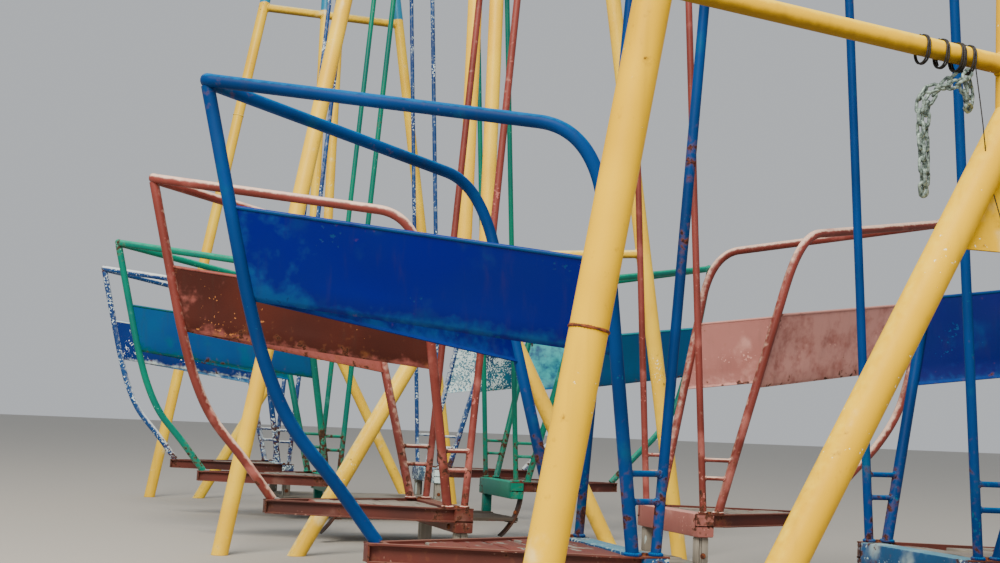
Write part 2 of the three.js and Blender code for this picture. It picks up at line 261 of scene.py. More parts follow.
# Each coat's tones (coat, shade, top, under), its chips, rust, scuff and gloss, and what else sets it apart.
# The yellow coats darken their undersides to dark brown: painted shade with some dirt.
yellow = {"fade_and_sheen": 0.45, "weld_rust": 0.45, "upper": ("1F7FA6", 3.745), "shade_and_grime": 0.75}
coats = {
    "yellow": ("E8B800 D8A800 F0CC38 F4EAC0", (0.06, 0.1, 0.2, 0.42), {**yellow, "ior": 1.18}),
    "pale_yellow": ("F8CF30 ECBC24 FAE692 F4EAC0", (0.06, 0.1, 0.2, 0.42), yellow),
    "beam": ("0F5C8E 0C4E7E 4F93B0 A9C4CC", (0.3, 0.2, 0.4, 0.36), {}),
    "deck": ("5C261D 44201A 80584C 846458", (0.12, 0.24, 0.5, 0.6), {}),
    "blue_tube": ("003A78 002C60 005E98 0B5578", (0.03, 0.1, 0.4, 0.5),
                  {"fade_and_sheen": 0.35, "weld_rust": 0.75, "ior": 1.2}),
    "blue_bow": ("000266 000C62 062C7E 003064", (0.06, -0.1, 0.5, 0.4),
                 {"weld_rust": 0.2, "worn": "003C72", "ior": 1.22}),
    "blue_stern": ("000A5E 00165A 063A80 003A70", (0.06, -0.05, 0.55, 0.4), {"worn": "003C72", "ior": 1.22}),
    "blue_beam": ("0A4A7C 0B3F66 5C93A8 A8C0C0", (0.45, 0.3, 0.6, 0.5), {}),
    # The red tubes' cream top colour is mostly a painted highlight.
    "red_tube": ("7C352E 66271F E9C8B4 A8625A", (0.16, 0.1, 0.6, 0.5), {"fade_and_sheen": 0.78, "weld_rust": 0.7}),
    "red_bow": ("481A10 3A140D 7A4034 A86A38", (0.16, 0.2, 0.1, 0.5), {"worn": "95524B", "ior": 1.3}),
    "red_stern": ("985E57 8A504A C9958C C08A80", (0.16, 0.16, 0.5, 0.55), {"worn": "B48079"}),
    "green_tube": ("007861 00665C 16A486 5FB0A0", (0.06, 0.08, 0.2, 0.38), {"ior": 1.3}),
    "green_bow": ("003C76 00487A 0A5A94 00566E", (0.06, -0.02, 0.6, 0.4), {"worn": "00524E", "ior": 1.25}),
    "green_stern": ("00457A 004E78 0A5A94 00566E", (0.06, 0.0, 0.6, 0.4), {"worn": "2AA8B0", "ior": 1.25}),
    "faded_blue_tube": ("08346E 0A447E EAF2F2 CFE2E6", (0.45, 0.1, 0.35, 0.42), {"fade_and_sheen": 0.95}),
    "faded_blue_bow": ("00246A 003070 3F7FA8 DDE9EA", (0.3, -0.05, 0.1, 0.42), {"worn": "C8DADC", "ior": 1.3}),
    "faded_blue_stern": ("0B6E86 0A2C62 6FB0D0 D4EAEA", (0.8, 0.0, 0.3, 0.42), {"worn": "1F8E9A"}),
}
paint = {name: enamel(f"{name}_paint", *tones.split(), *levels, **more)
         for name, (tones, levels, more) in coats.items()}
# The near frame's yellow is darker and more golden than the two far frames' paler yellow.
frame_paint = {1: paint["yellow"], 2: paint["pale_yellow"], 3: paint["pale_yellow"]}
rusty_steel = bare_steel("rusty_steel", "8A4A26", "4B281A", 0.7)
dull_zinc = bare_steel("dull_zinc", "8FA39C", "3C4A48", 0.5)
black_wire = bare_steel("black_wire", "2A2726", "161414", 0.45)


# Legs: three frames, each with two 76 mm steel pipes that lean in towards the top and stand in the ground.
# Two left legs have a weld ring, where the pipe was made longer. The first frame's ring is bare and rusty.


def skin(rings, closed=False):
    """Quads over an (n, m, 3) array of rings, each joined to the next and the last to the first where closed.
    Otherwise both end rings are closed by strips of quads, spots i and i + 1 to m - 2 - i and m - 1 - i.
    The quads are turned outwards: the volume under them, sum of p0 . (p1 x p2) + p0 . (p2 x p3), is above 0."""
    count, sides = rings.shape[:2]
    ring, spot = np.meshgrid(np.arange(count if closed else count - 1), np.arange(sides), indexing="ij")
    ahead, beside = (ring + 1) % count, (spot + 1) % sides
    corners = [ring * sides + spot, ring * sides + beside, ahead * sides + beside, ahead * sides + spot]
    quads = np.stack(corners, axis=-1).reshape(-1, 4)
    if not closed:
        strip = np.arange(sides // 2 - 1)
        lid = np.stack([strip, strip + 1, sides - 2 - strip, sides - 1 - strip], axis=-1)
        quads = np.concatenate([quads, lid[:, ::-1], lid + (count - 1) * sides])
    points = rings.reshape(-1, 3)
    p0, p1, p2, p3 = (points - points.mean(0))[quads].transpose(1, 0, 2)
    volume = (p0 * (np.cross(p1, p2) + np.cross(p2, p3))).sum()
    return points, quads if volume > 0 else quads[:, ::-1]


x_axis, y_axis, z_axis = np.eye(3)


def unit(vectors):
    vectors = np.asarray(vectors, float)
    return vectors / np.linalg.norm(vectors, axis=-1, keepdims=True)


def around(axis, count, across=None):
    """Directions all round an axis t: cos a u + sin a w, with u across it and w = t x u."""
    axis = unit(axis)
    if across is None:
        across = unit(np.cross(axis, np.eye(3)[np.argmin(np.abs(axis))]))
    turn = np.arange(count)[:, None] * 2 * np.pi / count
    return np.cos(turn) * across + np.sin(turn) * np.cross(axis, across)


def lathe(start, end, profile, sides=36, trims=(None, None), closed=False):
    """A round shape about the line from start to end. A profile row (s, r) is a ring, p = start + s t + r d,
    with t along the line and d a direction round it. A trim (axis, value) slides each point of an end ring
    along t until that coordinate has the value."""
    start, along = np.asarray(start, float), unit(np.subtract(end, start))
    distance, radius = np.asarray(profile, float).T
    rings = start + distance[:, None, None] * along + radius[:, None, None] * around(along, sides)
    for place, trim in zip((0, -1), trims):
        if trim:
            slide = (trim[1] - rings[place][:, trim[0]]) / along[trim[0]]
            rings[place] += slide[:, None] * along
    return skin(rings, closed)


def pipe(start, end, radius, sides=36, trims=(None, None), wall=0.0035, step_long=0.03):
    """A straight pipe with a ring every step_long. Its ends are open for one diameter unless they are trimmed."""
    length = np.linalg.norm(np.subtract(end, start))
    stations = np.linspace(0, length, max(int(length / step_long), 2))
    rows = np.column_stack([stations, np.full_like(stations, radius)])
    hollow = [(2 * radius, radius - wall), (0.0, radius - wall)]
    front = [] if trims[0] else [hollow]
    back = [] if trims[1] else [[(length - depth, inner) for depth, inner in reversed(hollow)]]
    return lathe(start, end, np.concatenate([*front, rows, *back]), sides, trims)


def saddle(foot, axis, radius, other, other_axis, other_radius, count=96):
    """The closed line where a pipe along axis first meets another pipe: from each point p round the first,
    the s with |q + s d| = R, where q and d are p - other and axis without their parts along the other axis."""
    axis, other_axis = unit(axis), unit(other_axis)
    points = foot + radius * around(axis, count)
    start = points - other
    start -= (start @ other_axis)[:, None] * other_axis
    drift = axis - (axis @ other_axis) * other_axis
    half, square = start @ drift, drift @ drift
    inside = np.maximum(half ** 2 - square * ((start ** 2).sum(1) - other_radius ** 2), 0)
    return points + ((-half - np.sqrt(inside)) / square)[:, None] * axis


def sweep(path, section, across, closed=False, grow=1.0):
    """A section (x, y) carried along a path: p = path + grow (x u + y w), where u is the across vector without
    its part along the path's tangent t, made one long, and w = t x u."""
    ahead = np.roll(path, -1, 0) - np.roll(path, 1, 0) if closed else np.gradient(path, axis=0)
    tangent = unit(ahead)
    across = np.broadcast_to(across, path.shape)
    side = unit(across - (tangent * across).sum(1)[:, None] * tangent)
    up = np.cross(tangent, side)
    grown = np.broadcast_to(grow, len(path))[:, None, None] * section[None]
    return skin(path[:, None] + grown[..., :1] * side[:, None] + grown[..., 1:] * up[:, None], closed)


def circle(radius, sides=12):
    turn = (np.arange(sides) + 0.5) * 2 * np.pi / sides
    return radius * np.column_stack([np.cos(turn), np.sin(turn)])


def bead(line, axis, size=0.0045):
    """A rippled weld bead along a closed line round a pipe with that axis."""
    ripple = 1 + 0.14 * np.sin(np.arange(len(line)) * 2.1) + 0.1 * np.sin(np.arange(len(line)) * 0.37)
    return sweep(line, circle(size, 8), axis, closed=True, grow=ripple)


# The frames' middle plane stands at this X, so that the middle of the row's box is on the origin.
row_x = -0.04


def add_piece(name, parts, body, nodes, material, stains=(), reach=0.06, worn=()):
    """One object made of closed (points, quads) parts, whose X counts from the frames' middle plane. The stain
    attribute of a point is the largest exp(-(d / reach)^2) over the stains, each d away from it. Worn gives each
    part's worn attribute, as one value or one a point."""
    starts = np.cumsum([0, *(len(points) for points, _ in parts[:-1])])
    points = np.concatenate([points for points, _ in parts])
    quads = np.concatenate([quads + start for (_, quads), start in zip(parts, starts)])
    mesh = bpy.data.meshes.new(name)
    mesh.vertices.add(len(points))
    mesh.vertices.foreach_set("co", (points + [row_x, 0, 0]).ravel())
    mesh.loops.add(quads.size)
    mesh.loops.foreach_set("vertex_index", quads.ravel())
    mesh.polygons.add(len(quads))
    mesh.polygons.foreach_set("loop_start", np.arange(0, quads.size, 4))
    mesh.update(calc_edges=True)
    mesh.shade_smooth()
    mesh.set_sharp_from_angle(angle=math.radians(40))
    spots = np.reshape(np.asarray(stains, float), (-1, 3))
    near = np.exp(-((points[:, None] - spots[None]) ** 2).sum(2) / np.square(reach)).max(1, initial=0)
    mesh.attributes.new("stain", "FLOAT", "POINT").data.foreach_set("value", near)
    if worn:
        values = np.concatenate([np.broadcast_to(part, len(spots)) for part, (spots, _) in zip(worn, parts)])
        mesh.attributes.new("worn", "FLOAT", "POINT").data.foreach_set("value", values)
    mesh.materials.append(material)
    piece = stand(name, mesh)
    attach(piece, body)
    if nodes:
        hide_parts(*nodes)


frame_places = (-4.098, 0.0, 4.098)
leg_radius, leg_foot, leg_lean, leg_top = 0.038, 1.139, 0.165, 4.003
weld_rings = {1: 0.836, 3: 2.85}
bare_leg, bare_spots = (1, -1), {1.462: 0.016, 1.345: 0.018, 1.325: 0.016, 1.18: 0.012}
leg_axis = {side: np.array([-side * leg_lean, 0.0, 1.0]) for side in (-1, 1)}


def leg_point(side, y, z):
    return np.array([side * (leg_foot - leg_lean * z), y, z])


for number, y in enumerate(frame_places, 1):
    for side, word in ((-1, "left"), (1, "right")):
        foot, top = leg_point(side, y, 0.0), leg_point(side, y, leg_top)
        parts = [pipe(foot, top, leg_radius, trims=((2, 0.0), (2, leg_top)), step_long=0.015)]
        stains, reach = [leg_point(side, y, z) for z in (0.0, 1.522, 3.703, 3.968)], [0.07] * 4
        if (number, side) == bare_leg:
            stains += [leg_point(side, y, z) + [-0.012, -leg_radius, 0] for z in bare_spots]
            reach += bare_spots.values()
        if side < 0 and number in weld_rings:
            line = leg_point(side, y, weld_rings[number]) + leg_radius * around(top - foot, 120)
            ring = bead(line, unit(top - foot), 0.0032)
            ring_paint = rusty_steel if number == 1 else frame_paint[number]
            add_piece(f"frame_{number}_weld_ring", [ring], "frame", [], ring_paint)
        node = f"frame_{number}_{word}_leg"
        add_piece(f"{node}_pipe", parts, "frame", [node], frame_paint[number], stains, reach)


# Masts and tie: two 70 mm pipes side by side go up from the apex to the cross-head, and a 60 mm tie crosses
# them near the top. All the joints are saddle cuts with a welded bead.
apex_height, tie_height, head_height = 1.447, 3.703, 3.968
mast_radius, mast_x, mast_foot, tie_radius, head_radius = 0.035, 0.055, 1.36, 0.03, 0.035

for number, y in enumerate(frame_places, 1):
    parts, stains = [], []
    head, tie = np.array([0.0, y, head_height]), np.array([0.0, y, tie_height])
    for side in (-1, 1):
        foot, top = (np.array([side * mast_x, y, z]) for z in (mast_foot, head_height))
        leg = leg_point(side, y, tie_height)
        leg_line = saddle(tie, [side, 0, 0], tie_radius, leg, leg_axis[side], leg_radius)
        mast_line = saddle(tie + [side * 0.3, 0, 0], [-side, 0, 0], tie_radius, foot, z_axis, mast_radius)
        parts += [pipe(foot, top, mast_radius, trims=((2, mast_foot), (2, head_height))),
                  bead(saddle(foot, z_axis, mast_radius, head, x_axis, head_radius), z_axis),
                  bead(leg_line, x_axis, 0.005), bead(mast_line, x_axis)]
        stains += [leg, tie + [side * mast_x, 0, 0], top, foot + [0, 0, 0.12]]
    reach = leg_foot - leg_lean * tie_height
    parts.append(pipe(tie - [reach, 0, 0], tie + [reach, 0, 0], tie_radius, trims=((0, -reach), (0, reach))))
    node = f"frame_{number}_masts"
    add_piece(f"{node}_pipes", parts, "frame", [node], frame_paint[number], stains)


# Braces: two 76 mm diagonals lean together under the masts with an 8 mm gusset plate in their angle, and a
# 42 mm bar runs out to each leg.
diagonal_foot, bar_radius, bar_leg_height = 0.79, 0.021, 1.522
gusset_bottom, gusset_half_thick, gusset_bevel = 1.052, 0.004, 0.0012


def slab(outline, y, half_thick, bevel):
    """A plate in the XZ plane: its outline (x, z) at y - h and y + h, drawn in by the bevel on both faces."""
    middle = outline.mean(0)
    drawn_in = outline + unit(middle - outline) * bevel * 1.4
    levels = ((drawn_in, -half_thick), (outline, bevel - half_thick), (outline, half_thick - bevel),
              (drawn_in, half_thick))
    return skin(np.stack([np.insert(flat, 1, y + depth, axis=1) for flat, depth in levels]))


for number, y in enumerate(frame_places, 1):
    apex = np.array([0.0, y, apex_height])
    half = diagonal_foot * (1 - gusset_bottom / apex_height)
    plate = np.array([[-half, gusset_bottom], [half, gusset_bottom], [0.02, apex_height - 0.02],
                      [-0.02, apex_height - 0.02]])
    parts, stains = [slab(plate, y, gusset_half_thick, gusset_bevel)], [apex]
    for side in (-1, 1):
        foot, mast = np.array([side * diagonal_foot, y, 0.0]), np.array([side * mast_x, y, 0.0])
        leg = leg_point(side, y, bar_leg_height)
        outwards = leg - apex
        parts += [pipe(foot, apex, leg_radius, trims=((2, 0.0), (0, 0.0))),
                  pipe(leg, apex, bar_radius, 28, trims=((0, leg[0]), (0, 0.0))),
                  bead(saddle(apex, outwards, bar_radius, leg, leg_axis[side], leg_radius), outwards),
                  bead(saddle(leg, -outwards, bar_radius, mast, z_axis, mast_radius), outwards)]
        stains += [foot, leg, apex + [side * mast_x, 0, 0], [side * half, y, gusset_bottom]]
        seam = foot + (apex - foot) * np.linspace(gusset_bottom / apex_height, 0.93, 60)[:, None]
        seam += unit(np.cross(apex - foot, side * y_axis)) * (leg_radius - 0.001)
        ripple = 1 + 0.15 * np.sin(np.arange(60) * 2.3)
        parts += [sweep(seam + [0, face * gusset_half_thick, 0], circle(0.0035, 8), y_axis, grow=ripple)
                  for face in (-1, 1)]
    node = f"frame_{number}_braces"
    add_piece(f"{node}_pipes", parts, "frame", [node], frame_paint[number], stains)


# Top beam: one 114 mm pipe along the whole row, open at its ends. Under it, over each frame, a 70 mm cross-head
# pipe joins the legs, with a plate on each side of it that holds the beam.
beam_radius, pivot_height, beam_end = 0.057, 4.06, 4.134
saddle_half = 0.045

parts = [pipe([0, -beam_end, pivot_height], [0, beam_end, pivot_height], beam_radius, 48, wall=0.006)]
stains = []
for y in frame_places:
    head = np.array([0.0, y, head_height])
    reach = leg_foot - leg_lean * head_height
    parts.append(pipe(head - [reach, 0, 0], head + [reach, 0, 0], head_radius, trims=((0, -reach), (0, reach))))
    cheek = np.array([[-saddle_half, head_height - 0.01], [saddle_half, head_height - 0.01],
                      [saddle_half, pivot_height], [-saddle_half, pivot_height]])
    for side in (-1, 1):
        leg = head + [side * reach, 0, 0]
        line = saddle(head, [side, 0, 0], head_radius, leg, leg_axis[side], leg_radius)
        parts += [bead(line, x_axis, 0.005), slab(cheek, y + side * (head_radius + 0.004), 0.005, 0.001)]
        stains += [leg, head + [side * 0.04, 0, 0.04]]
add_piece("top_beam_pipes", parts, "frame", ["top_beam"], paint["beam"], stains)


# Boats: two hang on either side of the middle frame, each on four 27 mm rods and in its own coat of paint. The
# bow is at -X and the stern at +X. The bow sheets of the red boat are an older brown.
boat_places = (-3.010, -1.329, 0.909, 2.424)
deck_height = 0.335
rod_radius, rail_radius, rung_radius = 0.0135, 0.017, 0.008
half_width, rod_foot, rod_top = 0.267, 0.477, 0.242
wood_across = board_wood("wood_across", "77716A", "A09A8C", "2E2A26", "7A3B32", 0.25, 1)
painted_boards = board_wood("painted_boards", "77716A", "A09A8C", "2E2A26", "6A322A", 0.8, 1)
dark_boards = board_wood("dark_boards", "3E362F", "5A5046", "1C1815", "4A3028", 0.2, 0)
wood_along = board_wood("wood_along", "716C64", "A5A092", "2A2622", "6F8C8E", 0.15, 0)
wood_upright = board_wood("wood_upright", "6E685E", "A8A296", "2A2622", "9FB0AE", 0.25, 2)
colours = ("blue", "red", "green", "faded_blue")
beam_coats = ("blue_beam", "red_stern", "green_tube", "faded_blue_stern")
ends = ((-1, "bow"), (1, "stern"))
boats = [(number, f"boat_{number}", colour, np.array([0.0, y, deck_height]))
         for number, (y, colour) in enumerate(zip(boat_places, colours), 1)]


# Hangers: on each side a short sleeve turns on the beam, a pipe through it spreads two rods, and the rods run
# down to the deck. They are welded pipe, rusty at the foot, and one near rod is rusty higher up as well.
sleeve_inner, sleeve_outer, sleeve_half, spreader_root = 0.0575, 0.0735, 0.045, 0.066
pivot_up = pivot_height - deck_height
rim = [(-sleeve_half + 0.002, sleeve_outer), (sleeve_half - 0.002, sleeve_outer),
       (sleeve_half, sleeve_outer - 0.002), (sleeve_half, sleeve_inner), (-sleeve_half, sleeve_inner),
       (-sleeve_half, sleeve_outer - 0.002)]
rusty_rod, rust_shares = (1, -1, -1), (0.205, 0.22, 0.274)


def foot_weld(foot, radius):
    """The bead where an upright tube stands on the deck."""
    ring = (radius + 0.001) * around(z_axis, 64, x_axis)
    return bead(foot + [0, 0, 0.004] + ring, z_axis, 0.005)


for number, boat, colour, origin in boats:
    for side, word in ((-1, "near"), (1, "far")):
        y = side * half_width
        middle = origin + [0, y, pivot_up]
        parts = [lathe(middle, middle + y_axis, rim, 48, closed=True)]
        stains = [middle + [0, end * sleeve_half, 0] for end in (-1, 1)]
        for end in (-1, 1):
            xs = (spreader_root, rod_top + rod_radius, rod_top)
            root, tip, top = (origin + [end * x, y, pivot_up] for x in xs)
            foot = origin + [end * rod_foot, y, 0.0]
            rod = top - foot
            parts += [pipe(root, tip, rail_radius, 24, trims=((0, root[0]), None)),
                      bead(saddle(tip, root - tip, rail_radius, middle, y_axis, sleeve_outer), x_axis),
                      pipe(foot, top, rod_radius, 20, trims=((2, foot[2]), (2, top[2])), step_long=0.05),
                      bead(saddle(foot, rod, rod_radius, tip, x_axis, rail_radius, 64), rod, 0.0035),
                      foot_weld(foot, rod_radius)]
            shares = (0, 0.02, 0.045) + (rust_shares if (number, side, end) == rusty_rod else ())
            stains += [top, *(foot + rod * share for share in shares)]
        node = f"{boat}_{word}_hanger"
        add_piece(f"{node}_pipes", parts, boat, [node], paint[f"{colour}_tube"],
                  stains, 0.1)


# Hand rails: one 34 mm tube goes up from the deck, over a wide bend, round the prow and back down the other
# side. Two short rungs tie each down-leg to the rod beside it. The stern's rail, at end 1, is narrower, longer
# and higher than the bow's, at end -1. All of it is welded and painted.
down_foot, prow_round = 0.54, 0.02
knee_x, knee_half, knee_height = {-1: 0.713, 1: 0.754}, {-1: 0.433, 1: 0.362}, {-1: 0.825, 1: 0.88}
rail_corner = {-1: np.array([0.755, 0.471, 1.024]), 1: np.array([0.805, 0.384, 1.088])}
rail_bend = {-1: np.array([0.881, 0.403, 1.041]), 1: np.array([0.914, 0.338, 1.108])}
prow_meet, prow_height = {-1: 1.652, 1: 1.732}, {-1: 1.144, 1: 1.256}
rung_heights = (0.135, 0.205)


def down_leg(end, side, z):
    """The point of a rail's straight lower part at a height above the deck, from its foot to its knee."""
    share = z / knee_height[end]
    return np.array([end * (down_foot + (knee_x[end] - down_foot) * share),
                     side * (half_width + (knee_half[end] - half_width) * share), z])


def bezier(start, corner, finish, count):
    """(1 - t)^2 start + 2 t (1 - t) corner + t^2 finish."""
    share = np.linspace(0, 1, count)[:, None]
    return (1 - share) ** 2 * start + 2 * share * (1 - share) * corner + share ** 2 * finish


def rail_path(end):
    """The rail's centre line from its far foot to its near one, with the prow's turn round a small circle."""
    mirror = np.array([end, 1.0, 1.0])
    bend, corner = rail_bend[end] * mirror, rail_corner[end] * mirror
    foot, knee = down_leg(end, 1, 0.0), down_leg(end, 1, knee_height[end])
    meet = np.array([end * prow_meet[end], 0.0, prow_height[end]])
    straight = foot + np.linspace(0, 1, 24)[:, None] * (knee - foot)
    bent = bezier(knee, corner, bend, 26)
    slope = unit(meet - bend)
    half_angle = math.atan2(abs(slope[1]), abs(slope[0]))
    touch = meet - slope * prow_round / math.tan(half_angle)
    run = bend + np.linspace(0, 1, 22)[:, None] * (touch - bend)
    turn = np.linspace(math.pi / 2 - half_angle, 0, 9)
    centre = meet[0] - end * prow_round / math.sin(half_angle)
    nose = np.column_stack([
        centre + end * prow_round * np.cos(turn), prow_round * np.sin(turn),
        np.interp(turn, (0, turn[0]), (prow_height[end], touch[2])),
    ])
    half = np.concatenate([straight[:-1], bent[:-1], run[:-1], nose])
    return np.concatenate([half, (half * [1, -1, 1])[-2::-1]])


for number, boat, colour, origin in boats:
    for end, word in ends:
        path = rail_path(end)
        parts = [sweep(path + origin, circle(rail_radius, 20), x_axis)]
        stains = [origin + [end * (prow_meet[end] - 0.032), 0, prow_height[end] - 0.03]]
        for side in (-1, 1):
            foot = origin + down_leg(end, side, 0.0)
            parts.append(foot_weld(foot, rail_radius))
            stains += [foot, foot + [0, 0, 0.07]]
            for height in rung_heights:
                share = height / pivot_up
                rod = origin + [end * (rod_foot + (rod_top - rod_foot) * share), side * half_width, height]
                leg = origin + down_leg(end, side, height)
                rung, rod_axis = leg - rod, [end * (rod_top - rod_foot), 0, pivot_up]
                axis = down_leg(end, side, 1.0) - down_leg(end, side, 0.0)
                parts += [pipe(rod, leg, rung_radius, 14, trims=((0, rod[0]), (0, leg[0])), step_long=0.01),
                          bead(saddle(rod, rung, rung_radius, leg, axis, rail_radius, 40), rung, 0.0035),
                          bead(saddle(leg, -rung, rung_radius, rod, rod_axis, rod_radius, 40), rung, 0.0035)]
                stains += [rod, leg]
        node = f"{boat}_{word}_rails"
        add_piece(f"{node}_tubes", parts, boat, [node], paint[f"{colour}_tube"],
                  stains, 0.07)


# Stem and side sheets: a bent tube rises from the deck's tip to the prow. A steel sheet on each side runs back
# from it to the down-leg, with its lower edge folded in and a thin bar welded along its top.
stem_points = {
    -1: np.array([[1.131, 0], [1.247, 0.146], [1.364, 0.285], [1.436, 0.425], [1.492, 0.595], [1.552, 0.828],
                  [1.626, 1.13]]),
    1: np.array([[1.131, 0], [1.27, 0.146], [1.408, 0.285], [1.504, 0.425], [1.562, 0.595], [1.628, 0.828],
                 [1.706, 1.242]]),
}
sheet_heights, stem_heights = {-1: (0.49, 0.715), 1: (0.486, 0.772)}, {-1: (0.595, 0.828), 1: (0.614, 0.902)}
sheet_half_thick, fold_high, fold_in, hem_radius = 0.0015, 0.012, 0.007, 0.0055
sheet_wear = {
    "bow": [(0.4, 0.55, 0.5, 0, 0.45), (0.5, 0.4, 0.3, 0, 1.0), (0.6, 0.4, 0.3, 0, 0.9), (0.5, 0.4, 0.1, 0, 0.3)],
    "stern": [(0.3, 0.3, 0.3, 0, 0), (0.2, 0.1, 0.2, 0.6, 0), (0.2, 0.1, 0.1, 0, 0.55), (0.6, 0.4, 0.5, 0, 0)],
}


def through(points, count):
    """A smooth line through the points: on each stretch, Catmull-Rom's cubic (2 b + (c - a) t + (2 a - 5 b +
    4 c - d) t^2 + (3 b - a - 3 c + d) t^3) / 2."""
    ends = np.concatenate([[2 * points[0] - points[1]], points, [2 * points[-1] - points[-2]]])
    share = np.linspace(0, len(points) - 1, count)
    at = np.minimum(share.astype(int), len(points) - 2)
    t = (share - at)[:, None]
    a, b, c, d = (ends[at + k] for k in range(4))
    return (2 * b + (c - a) * t + (2 * a - 5 * b + 4 * c - d) * t ** 2 + (3 * b - a - 3 * c + d) * t ** 3) / 2


def side_sheet(end, side, seed, wear):
    """A bent sheet: at share a along it and row (f, g, n) of its profile, p = low + up (f h + g) + out n, with
    low and high going straight from leg to stem, h and up their distance and direction, and out across both.
    Shallow dents, sums of exp(-((a - a0) / sa)^2 - ((f - f0) / sf)^2), push it in or out. Wear is how worn the
    fold, the crease, the tip and the outer and inner face are."""
    stem_x = np.interp(stem_heights[end], stem_points[end][:, 1], stem_points[end][:, 0])
    corners = [down_leg(end, side, height) for height in sheet_heights[end]]
    tips = [np.array([end * x, 0.0, z]) for x, z in zip(stem_x, stem_heights[end])]
    share = np.linspace(0.004, 0.992, 70)[:, None]
    low, high = (corner + share * (tip - corner) for corner, tip in zip(corners, tips))
    tall = np.linalg.norm(high - low, axis=1, keepdims=True)
    up = (high - low) / tall
    out = unit(np.cross(tips[0] - corners[0], up))
    out *= np.sign(out[:, 1:2]) * side
    rise = np.linspace(0.24, 1.0, 16)
    profile = np.concatenate([
        [[0, 0, -fold_in], [0, fold_high / 2, -fold_in / 2], [0, fold_high - 0.003, -0.0022],
         [0, fold_high + 0.002, 0]],
        np.column_stack([rise, 0 * rise, 0 * rise]),
    ])
    along, level, depth = profile.T
    heights = tall * along + level
    dice = np.random.default_rng(seed)
    spots = dice.uniform([0.1, 0.35], [0.9, 0.85], (7, 2))
    deep = dice.uniform(-0.006, 0.004, 7)
    gap = (share[:, :, None] - spots[:, 0]) / 0.13, (along[None, :, None] - spots[:, 1]) / 0.3
    dents = (deep * np.exp(-gap[0] ** 2 - gap[1] ** 2)).sum(2) * np.minimum(1, along / 0.3)
    centre = low[:, None] + up[:, None] * heights[..., None] + out[:, None] * (depth + dents)[..., None]
    lean = np.gradient(depth + 0 * heights, axis=1), np.gradient(heights, axis=1)
    size = np.hypot(*lean)[..., None]
    normal = (out[:, None] * lean[1][..., None] - up[:, None] * lean[0][..., None]) / size
    faces = [centre + normal * sheet_half_thick, (centre - normal * sheet_half_thick)[:, ::-1]]
    fold, crease, tip, outside, inside = wear
    near_crease = crease * np.exp(-((heights - fold_high) / 0.02) ** 2)
    near_tip = tip * np.exp(-((1 - share) / 0.22) ** 2)
    worn = np.maximum(np.maximum(near_crease, near_tip), np.where(heights < fold_high, fold, 0.0))
    worn = np.concatenate([np.maximum(worn, outside), np.maximum(worn[:, ::-1], inside)], axis=1).ravel()
    return skin(np.concatenate(faces, axis=1)), worn, centre[:, -1], centre[:, 0]


for number, boat, colour, origin in boats:
    for end, word in ends:
        stem = through(stem_points[end], 60)
        stem = np.insert(stem, 1, 0.0, axis=1) * [end, 1, 1] + origin
        add_piece(f"{boat}_{word}_stem", [sweep(stem, circle(rail_radius, 20), y_axis)], boat,
                  [], paint[f"{colour}_tube"], [*stem[:8:2], stem[-1]], 0.06)
        parts, stains, worn = [], [], []
        for side in (-1, 1):
            seed = 100 * number + 10 * end + side
            sheet, rubbed, top_edge, low_edge = side_sheet(end, side, seed, sheet_wear[word][number - 1])
            points, quads = sheet
            parts += [(points + origin, quads), sweep(top_edge + origin, circle(hem_radius, 10), z_axis)]
            worn += [rubbed, 0.7]
            stains += [*(low_edge[::6] + origin), top_edge[0] + origin, top_edge[-1] + origin]
        node = f"{boat}_{word}_shell"
        add_piece(f"{node}_sheets", parts, boat, [node], paint[f"{colour}_{word}"],
                  stains, 0.03, worn)


# Decks: at each end two 50 mm steel channels, open outwards, run from the boat's side to its tip, with a plate
# at the tip. Weathered boards lie across between them, and a painted box beam ties them at the inner end.
tip_x, tip_half, shoulder_x, deck_half, beam_x = 1.16, 0.026, 0.57, 0.286, (0.446, 0.516)
channel_high, channel_wide, channel_wall, beam_deep = 0.05, 0.022, 0.0045, 0.09
board_wide, board_gap, board_thick = 0.088, 0.006, 0.024
broken_board, rusty_beam, painted_deck = (1, 1, 1), (2, -1), (1, -1)


def rounded(wide, high, soft):
    """A rectangle about the middle with bevelled corners, its spots i and m - 1 - i level with each other."""
    x, y = wide / 2, high / 2
    right = np.array([[x - soft, -y], [x - 0.3 * soft, 0.3 * soft - y], [x, soft - y], [x, y - soft],
                      [x - 0.3 * soft, y - 0.3 * soft], [x - soft, y]])
    return np.concatenate([right, right[::-1] * [-1, 1]])


def block(start, end, wide, high, across, soft=0.003):
    """A straight bar of rounded section from start to end, with bevelled ends. Wide is measured along across."""
    length = np.linalg.norm(end - start)
    share = np.concatenate([[0], np.linspace(soft, length - soft, max(int(length / 0.04), 2)), [length]]) / length
    grow = np.ones(len(share))
    grow[[0, -1]] = 1 - soft / max(wide, high)
    return sweep(start + share[:, None] * (end - start), rounded(wide, high, soft), across, grow=grow)


def cross_bar(middle, half, wide, high, soft):
    """A block that reaches half to each side of its middle, across the boat."""
    return block(middle - half * y_axis, middle + half * y_axis, wide, high, x_axis, soft)


